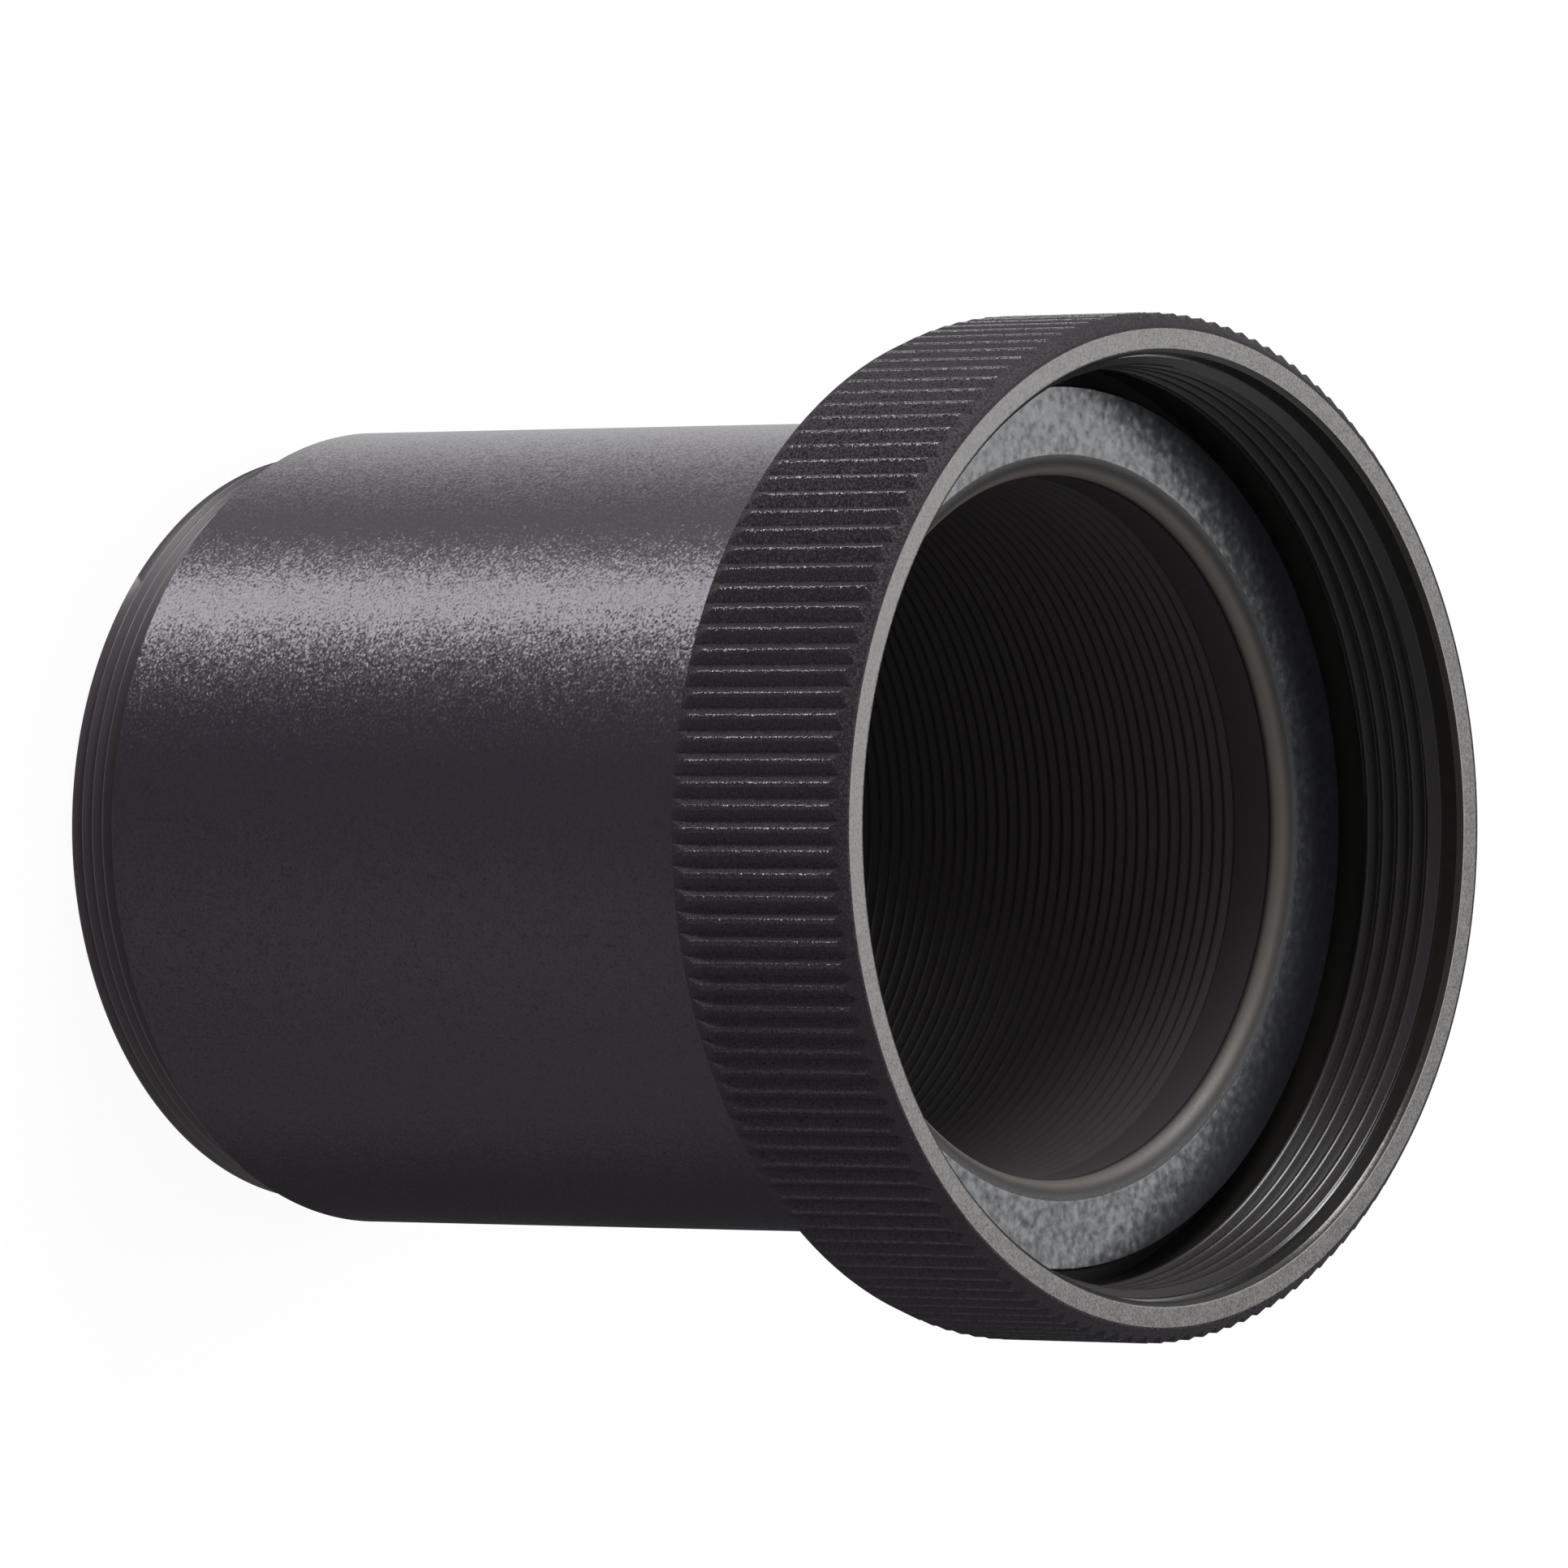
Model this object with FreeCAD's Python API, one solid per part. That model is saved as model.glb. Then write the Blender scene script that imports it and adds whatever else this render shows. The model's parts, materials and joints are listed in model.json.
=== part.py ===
import FreeCAD, Part
import math
import os

# Telescope T-adapter: a turned tube with a captive knurled coupling ring.
# The tube's T-thread end stands on z = 0 and the optical axis is +Z, so the
# coupling ring and its mouth are at the top. All sizes are millimetres.

# Optical length, from the T-thread's shoulder to the flange's front face
OPTICAL_LENGTH = 50.0

# Tube: its shoulder stands out from the T-thread, and its bore leaves a wall under it
SHOULDER_WIDTH = 1.15
SHOULDER_CHAMFER = 0.3
T_THREAD_WALL = 1.49
MOUTH_ROUND = 1.15
BORE_END_CHAMFER = 0.4

# Flange that seats on the telescope, small enough to pass through the coupling thread
FLANGE_THICKNESS = 1.8
FLANGE_CHAMFER = 0.15

# Ribs turned in the bore to stop stray light
RIB_PITCH = 0.77
RIB_DEPTH = 0.22
RIB_LAND = 0.10
RIB_MARGIN = 2.2

# Male T-thread, M42 x 0.75, with a relief that slopes up to the shoulder's seat
T_THREAD_DIAMETER = 42.0
T_THREAD_PITCH = 0.75
T_THREAD_LENGTH = 4.15
T_THREAD_CHAMFER = 0.35
T_THREAD_START_DEGREES = 67
T_RELIEF_WIDTH = 0.90
T_RELIEF_DEPTH = 0.06

# Female telescope thread, 2 in with 24 threads per inch
INCH = 25.4
TELESCOPE_THREAD_DIAMETER = 2.0 * INCH
TELESCOPE_THREAD_PITCH = INCH / 24.0
TELESCOPE_THREAD_LENGTH = 5.4
TELESCOPE_THREAD_START_DEGREES = 263

# Coupling ring: its wall over the thread, its lip behind the flange, its mouth before it
RING_WALL = 2.35
RING_LIP_THICKNESS = 2.33
RING_AHEAD_OF_FLANGE = 7.25
RING_FRONT_CHAMFER = 0.73
LEAD_IN_DEPTH = 1.2
LEAD_IN_EDGE = 0.25
RELIEF_DEPTH = 0.1
RING_LIP_CHAMFER = 0.2
RING_REAR_TAPER_LENGTH = 1.2

# Straight knurl of saw teeth: a narrow land, a gentle wall, then a steeper one back up
KNURL_TEETH = 144
KNURL_DEPTH = 0.40
KNURL_LAND = 0.12
KNURL_BOTTOM_SHARE = 0.62

# Split retaining ring of round wire, between the tube and the coupling ring
WIRE_DIAMETER = 1.0
WIRE_GAP_DEGREES = 12.0
WIRE_BITE = 0.35

# Clearances
FLANGE_IN_THREAD_CLEARANCE = 0.83
T_SEAT_CLEARANCE = 0.03
RING_ON_TUBE_CLEARANCE = 0.30
LEAD_IN_CLEARANCE = 0.10
WIRE_SIDE_CLEARANCE = 0.05
WIRE_FLOOR_CLEARANCE = 0.10
STOP_CLEARANCE = 0.02

# Axial float of the coupling ring, from the retaining ring's stop to the flange
RING_FLOAT = 0.50

# Shares of the pitch that a 60 degree thread leaves as flats, and its depth
MALE_THREAD_DEPTH_SHARE = 0.6134
FEMALE_THREAD_DEPTH_SHARE = 0.5413
MALE_CREST_SHARE = 0.125
FEMALE_CREST_SHARE = 0.25
FLANK_TANGENT = math.tan(math.radians(30.0))

# How a thread's groove cutter clears the crests and runs out past the thread's ends
GROOVE_OVERCUT = 0.10
GROOVE_RUN_OUT = 0.04
START_TRIES = 12
START_STEP_DEGREES = 7
CUT_TOLERANCE = 0.10

# Worked-out radii
t_major_radius = T_THREAD_DIAMETER / 2
t_minor_radius = t_major_radius - MALE_THREAD_DEPTH_SHARE * T_THREAD_PITCH
telescope_major_radius = TELESCOPE_THREAD_DIAMETER / 2
telescope_minor_radius = telescope_major_radius - FEMALE_THREAD_DEPTH_SHARE * TELESCOPE_THREAD_PITCH
tube_radius = t_major_radius + SHOULDER_WIDTH
bore_radius = t_minor_radius - T_THREAD_WALL
flange_radius = telescope_minor_radius - FLANGE_IN_THREAD_CLEARANCE
ring_radius = telescope_major_radius + RING_WALL
knurl_root_radius = ring_radius - KNURL_DEPTH
lead_in_radius = telescope_major_radius + LEAD_IN_CLEARANCE
ring_lip_radius = tube_radius + RING_ON_TUBE_CLEARANCE
wire_radius = WIRE_DIAMETER / 2

# The wire bites as deep into the tube as into the coupling ring's lip
wire_path_radius = (tube_radius - WIRE_BITE) + wire_radius
ring_groove_radius = wire_path_radius + wire_radius + WIRE_FLOOR_CLEARANCE
tube_groove_radius = wire_path_radius - wire_radius - WIRE_FLOOR_CLEARANCE

# Worked-out heights
shoulder_z = T_THREAD_LENGTH
flange_front_z = shoulder_z + OPTICAL_LENGTH
flange_back_z = flange_front_z - FLANGE_THICKNESS
ring_front_z = flange_front_z + RING_AHEAD_OF_FLANGE
ring_lip_z = flange_back_z - RING_FLOAT - STOP_CLEARANCE
ring_rear_z = ring_lip_z - RING_LIP_THICKNESS
wire_z = (ring_rear_z + ring_lip_z) / 2
tube_groove_low_z = wire_z - wire_radius - STOP_CLEARANCE
tube_groove_high_z = wire_z + wire_radius + RING_FLOAT + WIRE_SIDE_CLEARANCE
ring_groove_half_width = wire_radius + WIRE_SIDE_CLEARANCE
telescope_thread_high_z = ring_front_z - LEAD_IN_DEPTH
telescope_thread_low_z = telescope_thread_high_z - TELESCOPE_THREAD_LENGTH

Z_AXIS = FreeCAD.Vector(0, 0, 1)
ORIGIN = FreeCAD.Vector(0, 0, 0)


def in_plane(point):
    """A profile point given as (radius, height), in the XZ plane."""
    return FreeCAD.Vector(point[0], 0, point[1])


def line(start, end):
    """A straight profile edge between two (radius, height) points."""
    return Part.LineSegment(in_plane(start), in_plane(end)).toShape()


def arc(start, middle, end):
    """A round profile edge through three (radius, height) points."""
    return Part.Arc(in_plane(start), in_plane(middle), in_plane(end)).toShape()


def polyline(points):
    """The straight edges along a list of (radius, height) points."""
    return [line(a, b) for a, b in zip(points, points[1:])]


def turned(edges):
    """The solid that a closed profile sweeps about the optical axis."""
    face = Part.Face(Part.Wire(edges))
    return oriented(face.revolve(ORIGIN, Z_AXIS, 360.0))


def oriented(shape):
    """The shape's first solid, with its faces pointing outwards."""
    solid = shape.Solids[0] if shape.Solids else Part.Solid(shape.Shells[0])
    if solid.Volume < 0:
        solid.reverse()
    return solid


def rib_points(low_z, high_z):
    """Points of the bore wall between two heights, with its V grooves, going down."""
    count = int((high_z - low_z) / RIB_PITCH)
    start_z = (high_z + low_z) / 2 + count * RIB_PITCH / 2
    points = []
    for rib in range(count):
        top_z = start_z - rib * RIB_PITCH
        points.append((bore_radius, top_z - RIB_LAND / 2))
        points.append((bore_radius + RIB_DEPTH, top_z - RIB_PITCH / 2))
        points.append((bore_radius, top_z - RIB_PITCH + RIB_LAND / 2))
    return points


def thread_groove(root_radius, crest_radius, crest_share, pitch, low_z, high_z):
    """A helical groove cutter for a 60 degree thread between two heights.

    The groove widens from root_radius to just past crest_radius, where it leaves
    a crest of crest_share of the pitch. It runs out past both ends by its width.
    """
    outward = 1 if crest_radius > root_radius else -1
    reach = abs(crest_radius - root_radius) + GROOVE_OVERCUT
    mouth_radius = root_radius + outward * reach
    half_mouth = pitch * (1 - crest_share) / 2 + GROOVE_OVERCUT * FLANK_TANGENT
    half_root = half_mouth - reach * FLANK_TANGENT
    start_z = low_z - half_mouth - GROOVE_RUN_OUT
    end_z = high_z + half_mouth + GROOVE_RUN_OUT
    corners = [
        (root_radius, start_z - half_root),
        (mouth_radius, start_z - half_mouth),
        (mouth_radius, start_z + half_mouth),
        (root_radius, start_z + half_root),
        (root_radius, start_z - half_root),
    ]
    profile = Part.Wire(polyline(corners))
    helix = Part.makeHelix(pitch, end_z - start_z, root_radius)
    helix.translate(FreeCAD.Vector(0, 0, start_z))
    groove = Part.Wire(helix.Edges).makePipeShell([profile], True, True)
    return oriented(groove)


def cut_thread(blank, root_radius, crest_radius, crest_share, pitch, low_z, high_z, start_degrees):
    """The blank with a thread cut between two heights.

    A helical cut can miss when the groove starts on a seam of the blank, so the
    groove is started at start_degrees and then a little further each time, until
    the metal that leaves the blank is the groove's section times its length.
    """
    groove = thread_groove(root_radius, crest_radius, crest_share, pitch, low_z, high_z)
    depth = abs(crest_radius - root_radius)
    section = depth * (pitch * (1 - crest_share) - depth * FLANK_TANGENT)
    turns = (high_z - low_z) / pitch
    metal = section * turns * math.pi * (root_radius + crest_radius)
    for attempt in range(START_TRIES):
        cutter = groove.copy()
        cutter.rotate(ORIGIN, Z_AXIS, start_degrees + attempt * START_STEP_DEGREES)
        threaded = blank.cut(cutter)
        removed = blank.Volume - threaded.Volume
        if threaded.isValid() and abs(removed - metal) < CUT_TOLERANCE * metal:
            return oriented(threaded)
    raise RuntimeError("the thread could not be cut")


def make_barrel():
    """The tube with its flange, T-thread, ribbed bore and retaining-ring groove."""
    relief_low_z = shoulder_z - T_RELIEF_WIDTH
    relief_radius = t_minor_radius - T_RELIEF_DEPTH
    seat_radius = t_major_radius + T_SEAT_CLEARANCE
    outside = [
        (t_major_radius - T_THREAD_CHAMFER, 0),
        (t_major_radius, T_THREAD_CHAMFER),
        (t_major_radius, relief_low_z),
        (relief_radius, relief_low_z),
        (relief_radius, shoulder_z - (seat_radius - relief_radius)),
        (seat_radius, shoulder_z),
        (tube_radius - SHOULDER_CHAMFER, shoulder_z),
        (tube_radius, shoulder_z + SHOULDER_CHAMFER),
        (tube_radius, tube_groove_low_z),
        (tube_groove_radius, tube_groove_low_z),
        (tube_groove_radius, tube_groove_high_z),
        (tube_radius, tube_groove_high_z),
        (tube_radius, flange_back_z),
        (flange_radius - FLANGE_CHAMFER, flange_back_z),
        (flange_radius, flange_back_z + FLANGE_CHAMFER),
        (flange_radius, flange_front_z - FLANGE_CHAMFER),
        (flange_radius - FLANGE_CHAMFER, flange_front_z),
        (bore_radius + MOUTH_ROUND, flange_front_z),
    ]
    mouth_low = (bore_radius, flange_front_z - MOUTH_ROUND)
    slant = MOUTH_ROUND * (1 - math.cos(math.radians(45.0)))
    mouth_middle = (bore_radius + slant, flange_front_z - slant)
    inside = [mouth_low]
    inside += rib_points(RIB_MARGIN, flange_front_z - MOUTH_ROUND - RIB_MARGIN)
    inside += [
        (bore_radius, BORE_END_CHAMFER),
        (bore_radius + BORE_END_CHAMFER, 0),
        outside[0],
    ]
    edges = polyline(outside)
    edges.append(arc(outside[-1], mouth_middle, mouth_low))
    edges += polyline(inside)
    blank = turned(edges)
    return cut_thread(
        blank,
        t_minor_radius,
        t_major_radius,
        MALE_CREST_SHARE,
        T_THREAD_PITCH,
        0,
        relief_low_z,
        T_THREAD_START_DEGREES,
    )


def knurled_bar():
    """A bar along the axis with the coupling ring's toothed outline."""
    step = 2 * math.pi / KNURL_TEETH
    half_land = KNURL_LAND / ring_radius / 2

    def at(radius, angle):
        return FreeCAD.Vector(radius * math.cos(angle), radius * math.sin(angle), ring_rear_z)

    edges = []
    for tooth in range(KNURL_TEETH):
        angle = tooth * step
        land_start = at(ring_radius, angle - half_land)
        land_end = at(ring_radius, angle + half_land)
        bottom = at(knurl_root_radius, angle + KNURL_BOTTOM_SHARE * step)
        next_land = at(ring_radius, angle + step - half_land)
        edges.append(Part.Arc(land_start, at(ring_radius, angle), land_end).toShape())
        edges.append(Part.LineSegment(land_end, bottom).toShape())
        edges.append(Part.LineSegment(bottom, next_land).toShape())
    outline = Part.Face(Part.Wire(edges))
    return outline.extrude(FreeCAD.Vector(0, 0, ring_front_z - ring_rear_z))


def make_coupling_ring():
    """The knurled ring with its telescope thread, inner lip and wire groove."""
    relief_radius = telescope_major_radius + RELIEF_DEPTH
    profile = [
        (ring_lip_radius + RING_LIP_CHAMFER, ring_rear_z),
        (knurl_root_radius, ring_rear_z),
        (ring_radius, ring_rear_z + RING_REAR_TAPER_LENGTH),
        (ring_radius, ring_front_z - RING_FRONT_CHAMFER),
        (ring_radius - RING_FRONT_CHAMFER, ring_front_z),
        (lead_in_radius + LEAD_IN_EDGE, ring_front_z),
        (lead_in_radius, ring_front_z - LEAD_IN_EDGE),
        (lead_in_radius, telescope_thread_high_z),
        (telescope_minor_radius, telescope_thread_high_z),
        (telescope_minor_radius, telescope_thread_low_z),
        (relief_radius, telescope_thread_low_z),
        (relief_radius, ring_lip_z),
        (ring_lip_radius, ring_lip_z),
        (ring_lip_radius, wire_z + ring_groove_half_width),
        (ring_groove_radius, wire_z + ring_groove_half_width),
        (ring_groove_radius, wire_z - ring_groove_half_width),
        (ring_lip_radius, wire_z - ring_groove_half_width),
        (ring_lip_radius, ring_rear_z + RING_LIP_CHAMFER),
        (ring_lip_radius + RING_LIP_CHAMFER, ring_rear_z),
    ]
    blank = turned(polyline(profile))
    threaded = cut_thread(
        blank,
        telescope_major_radius,
        telescope_minor_radius,
        FEMALE_CREST_SHARE,
        TELESCOPE_THREAD_PITCH,
        telescope_thread_low_z,
        telescope_thread_high_z,
        TELESCOPE_THREAD_START_DEGREES,
    )
    return oriented(threaded.common(knurled_bar()))


def make_retaining_ring():
    """The split wire ring that carries the coupling ring, open at one place."""
    centre = FreeCAD.Vector(wire_path_radius, 0, wire_z)
    section = Part.Face(Part.Wire(Part.Circle(centre, FreeCAD.Vector(0, 1, 0), wire_radius).toShape()))
    section.rotate(ORIGIN, Z_AXIS, WIRE_GAP_DEGREES / 2)
    return oriented(section.revolve(ORIGIN, Z_AXIS, 360.0 - WIRE_GAP_DEGREES))


NODES = {
    "barrel": make_barrel,
    "coupling_ring": make_coupling_ring,
    "retaining_ring": make_retaining_ring,
}

os.makedirs("parts", exist_ok=True)
for name, make in NODES.items():
    solid = make()
    box = solid.BoundBox
    solid.exportStep(f"parts/{name}.step")
    print(f"{name}: {solid.Volume:.1f} mm3, valid {solid.isValid()}, "
          f"z {box.ZMin:.3f} to {box.ZMax:.3f}, across {box.XLength:.3f}")
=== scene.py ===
"""Looks of a telescope T-adapter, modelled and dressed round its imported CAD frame.

The adapter stands on its T-thread end, with the optical axis on +Z. The coupling ring and
its mouth are at the top. Sizes in the classes are millimetres, and the scene is in metres.
"""

import json
import logging
import math
from dataclasses import dataclass
from enum import Enum
from typing import Callable, Sequence

import bmesh
import bpy
from mathutils import Matrix, Vector


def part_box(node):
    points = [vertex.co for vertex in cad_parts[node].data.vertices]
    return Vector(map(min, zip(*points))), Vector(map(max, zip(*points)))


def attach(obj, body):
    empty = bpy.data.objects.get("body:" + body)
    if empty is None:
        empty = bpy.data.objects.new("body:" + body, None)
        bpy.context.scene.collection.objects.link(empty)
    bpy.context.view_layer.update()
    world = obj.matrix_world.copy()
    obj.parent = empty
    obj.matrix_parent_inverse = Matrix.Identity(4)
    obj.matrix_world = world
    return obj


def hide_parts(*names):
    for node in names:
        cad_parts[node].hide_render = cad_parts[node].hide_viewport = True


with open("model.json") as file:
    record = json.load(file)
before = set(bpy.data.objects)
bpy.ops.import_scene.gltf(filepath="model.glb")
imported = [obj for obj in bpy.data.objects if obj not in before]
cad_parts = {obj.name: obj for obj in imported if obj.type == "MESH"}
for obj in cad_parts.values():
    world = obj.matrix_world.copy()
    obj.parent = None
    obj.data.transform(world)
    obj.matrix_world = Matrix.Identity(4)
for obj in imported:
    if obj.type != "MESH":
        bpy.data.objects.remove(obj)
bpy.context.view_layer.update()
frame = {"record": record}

LOG = logging.getLogger("t_adapter")

MM = 0.001
FULL_TURN = 2 * math.pi

# Vertices closer than this are one vertex
MERGE = 1e-6

# How near a height a seam's vertices have to be, to be taken as on it
ON_PLANE = 1e-5

# Sides of a turned surface, enough that its outline looks round from close up
SIDES = 288

# Edges that turn by less than this are shaded as one smooth surface
SMOOTH_BELOW = math.radians(38)

# The gloss that a dielectric's IOR gives by itself, as Blender counts it
PLAIN_GLOSS = 0.5

Point = tuple[float, float]


def linear(colour: str) -> tuple[float, float, float, float]:
    """Turns an sRGB hex colour to a linear one.

    Args:
        colour: Six hex digits after a hash.

    Returns:
        Linear red, green and blue, and an alpha of 1.
    """
    parts = [int(colour[i : i + 2], 16) / 255 for i in (1, 3, 5)]
    red, green, blue = (p / 12.92 if p <= 0.04045 else ((p + 0.055) / 1.055) ** 2.4 for p in parts)
    return red, green, blue, 1.0


def add(
    tree: bpy.types.NodeTree,
    kind: str,
    inputs: dict[str | int, object] | None = None,
    **settings: object,
) -> bpy.types.Node:
    """Adds a node with its settings, values and links.

    Args:
        tree: The node tree that it goes into.
        kind: The node's type.
        inputs: Values by socket, where another node's output socket makes a link.
        **settings: The node's own properties.

    Returns:
        The new node.
    """
    node = tree.nodes.new(kind)
    for name, value in settings.items():
        setattr(node, name, value)
    for socket, value in (inputs or {}).items():
        if isinstance(value, bpy.types.NodeSocket):
            tree.links.new(value, node.inputs[socket])
        else:
            node.inputs[socket].default_value = value
    return node


def empty_material(name: str) -> bpy.types.Material:
    """A material with no nodes in it.

    Args:
        name: The material's name.

    Returns:
        The material.
    """
    material = bpy.data.materials.new(name)
    material.use_nodes = True
    material.node_tree.nodes.clear()
    return material


def sum_of(
    tree: bpy.types.NodeTree, operation: str, first: object, second: object = 0.0
) -> bpy.types.NodeSocket:
    """The outcome of a sum with one or two numbers, each a value or a socket."""
    node = add(tree, "ShaderNodeMath", {0: first, 1: second}, operation=operation)
    return node.outputs["Value"]


def ranged(
    tree: bpy.types.NodeTree,
    value: bpy.types.NodeSocket,
    start: float,
    end: float,
    low: float = 0.0,
    high: float = 1.0,
    kind: str = "LINEAR",
) -> bpy.types.NodeSocket:
    """A number that goes from low to high as another one goes from start to end.

    Args:
        tree: The node tree.
        value: The other number.
        start: The other number where it starts.
        end: The other number where it ends.
        low: The number at the start.
        high: The number at the end.
        kind: How it goes, which is LINEAR or SMOOTHSTEP.

    Returns:
        The number.
    """
    ends = {"From Min": start, "From Max": end, "To Min": low, "To Max": high}
    node = add(
        tree, "ShaderNodeMapRange", {"Value": value, **ends}, interpolation_type=kind
    )
    return node.outputs["Result"]


def vector_of(
    tree: bpy.types.NodeTree, operation: str, inputs: dict[str | int, object]
) -> bpy.types.NodeSocket:
    """The vector that comes out of a sum with vectors."""
    node = add(tree, "ShaderNodeVectorMath", inputs, operation=operation)
    return node.outputs["Vector"]


def dressed(
    name: str, inputs: Callable[[bpy.types.NodeTree], dict[str, object]]
) -> bpy.types.Material:
    """A material with one shader.

    Args:
        name: The material's name.
        inputs: What gives the shader's values and links in the material's node tree.

    Returns:
        The material.
    """
    material = empty_material(name)
    tree = material.node_tree
    shader = add(tree, "ShaderNodeBsdfPrincipled", inputs(tree))
    add(tree, "ShaderNodeOutputMaterial", {"Surface": shader.outputs["BSDF"]})
    return material


def millimetres(tree: bpy.types.NodeTree) -> bpy.types.NodeSocket:
    """The place on the object as a vector in millimetres."""
    place = add(tree, "ShaderNodeTexCoord").outputs["Object"]
    return vector_of(tree, "SCALE", {0: place, "Scale": 1 / MM})


def radius_of(tree: bpy.types.NodeTree, place: bpy.types.NodeSocket) -> bpy.types.NodeSocket:
    """The distance from the optical axis.

    Args:
        tree: The node tree.
        place: Where on the object it is, in millimetres.

    Returns:
        The distance in millimetres.
    """
    flat = vector_of(tree, "MULTIPLY", {0: place, 1: (1, 1, 0)})
    length = add(tree, "ShaderNodeVectorMath", {0: flat}, operation="LENGTH")
    return length.outputs["Value"]


def noise(
    tree: bpy.types.NodeTree, place: bpy.types.NodeSocket, size: float, detail: float = 2.0
) -> bpy.types.NodeSocket:
    """A cloudy value from 0 to 1 whose patches are about size millimetres across."""
    texture = add(
        tree, "ShaderNodeTexNoise", {"Vector": place, "Scale": 1 / size, "Detail": detail}
    )
    return texture.outputs["Fac"]


@dataclass(frozen=True)
class BlastedAnodised:
    """Aluminium 6061, bead blasted and then black anodised.

    The blasting leaves small round dents, each facing its own way, so the black film
    glitters in and round a lamp's highlight and is nearly black elsewhere.

    Real dents are some 0.05 mm across. They are drawn two to four times as coarse here,
    because finer ones would even out to a plain grey in a picture of the whole adapter.
    """

    name: str = "aluminium_bead_blasted_black_anodised"
    film: str = "#1d151f"
    lit_film: str = "#221924"
    gleam: str = "#f8f6ff"
    roughness: float = 0.30
    dent_mm: float = 0.16
    dent_tilt: float = 0.48
    patch_mm: float = 0.7
    patch_tilt: float = 0.10
    film_index: float = 1.6
    dull_below_mm: float = 0.0
    dull_fade_mm: float = 0.04
    dull_roughness: float = 0.6
    dull_gloss: float = 0.25

    def by_radius(
        self,
        tree: bpy.types.NodeTree,
        place: bpy.types.NodeSocket,
        dull: float,
        handled: float,
    ) -> float | bpy.types.NodeSocket:
        """A value that changes at the radius below which handling doesn't reach.

        Args:
            tree: The node tree.
            place: Where on the object it is, in millimetres.
            dull: The value below that radius.
            handled: The value above it, and everywhere if there is no such radius.

        Returns:
            The one value, or the socket that gives it by radius.
        """
        if not self.dull_below_mm:
            return handled
        start = self.dull_below_mm - self.dull_fade_mm
        return ranged(tree, radius_of(tree, place), start, self.dull_below_mm, dull, handled)

    def shader(self, tree: bpy.types.NodeTree) -> dict[str, object]:
        """The shader's values and links.

        Args:
            tree: The node tree.

        Returns:
            Each by its socket.
        """
        place = millimetres(tree)
        normal = add(tree, "ShaderNodeNewGeometry").outputs["Normal"]
        normal = tilted(tree, normal, place, self.patch_mm, self.patch_tilt)
        normal = tilted(tree, normal, place, self.dent_mm, self.dent_tilt)
        clouds = noise(tree, place, self.patch_mm)
        return {
            "Base Color": recoloured(tree, clouds, self.film, self.lit_film),
            "Roughness": self.by_radius(tree, place, self.dull_roughness, self.roughness),
            "IOR": self.film_index,
            "Specular IOR Level": self.by_radius(tree, place, self.dull_gloss, PLAIN_GLOSS),
            "Specular Tint": linear(self.gleam),
            "Normal": normal,
        }


def tilted(
    tree: bpy.types.NodeTree,
    normal: bpy.types.NodeSocket,
    place: bpy.types.NodeSocket,
    size: float,
    tilt: float,
) -> bpy.types.NodeSocket:
    """Leans a normal a little, each patch of the surface its own way.

    Args:
        tree: The node tree.
        normal: The normal to lean.
        place: Where on the object it is, in millimetres.
        size: How far across a patch is, in millimetres.
        tilt: How far the normals lean, where 1 makes it about nine degrees.

    Returns:
        The leaning normal.
    """
    ways = add(tree, "ShaderNodeTexNoise", {"Vector": place, "Scale": 1 / size, "Detail": 1.0})
    around = vector_of(tree, "SUBTRACT", {0: ways.outputs["Color"], 1: (0.5, 0.5, 0.5)})
    lean = vector_of(tree, "SCALE", {0: around, "Scale": tilt})
    leaning = vector_of(tree, "ADD", {0: normal, 1: lean})
    return vector_of(tree, "NORMALIZE", {0: leaning})


def dented(
    tree: bpy.types.NodeTree,
    height: bpy.types.NodeSocket,
    depth: float,
    inputs: dict[str, object] | None = None,
) -> bpy.types.NodeSocket:
    """A normal that follows small heights.

    Args:
        tree: The node tree.
        height: The height at each place, from 0 to 1.
        depth: What a height of 1 is, in millimetres.
        inputs: Other values and links for the bump.

    Returns:
        The normal.
    """
    shape = {"Strength": 1.0, "Distance": depth * MM, "Height": height}
    return add(tree, "ShaderNodeBump", {**shape, **(inputs or {})}).outputs["Normal"]


def recoloured(
    tree: bpy.types.NodeTree, share: bpy.types.NodeSocket, low: str, high: str
) -> bpy.types.NodeSocket:
    """A colour that goes from one to another.

    Args:
        tree: The node tree.
        share: How far it is on its way, from 0 to 1.
        low: The colour at 0, as an sRGB hex colour.
        high: The colour at 1, likewise.

    Returns:
        The colour.
    """
    ramp = add(tree, "ShaderNodeValToRGB", {"Fac": share})
    ramp.color_ramp.elements[0].color = linear(low)
    ramp.color_ramp.elements[1].color = linear(high)
    return ramp.outputs["Color"]


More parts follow.
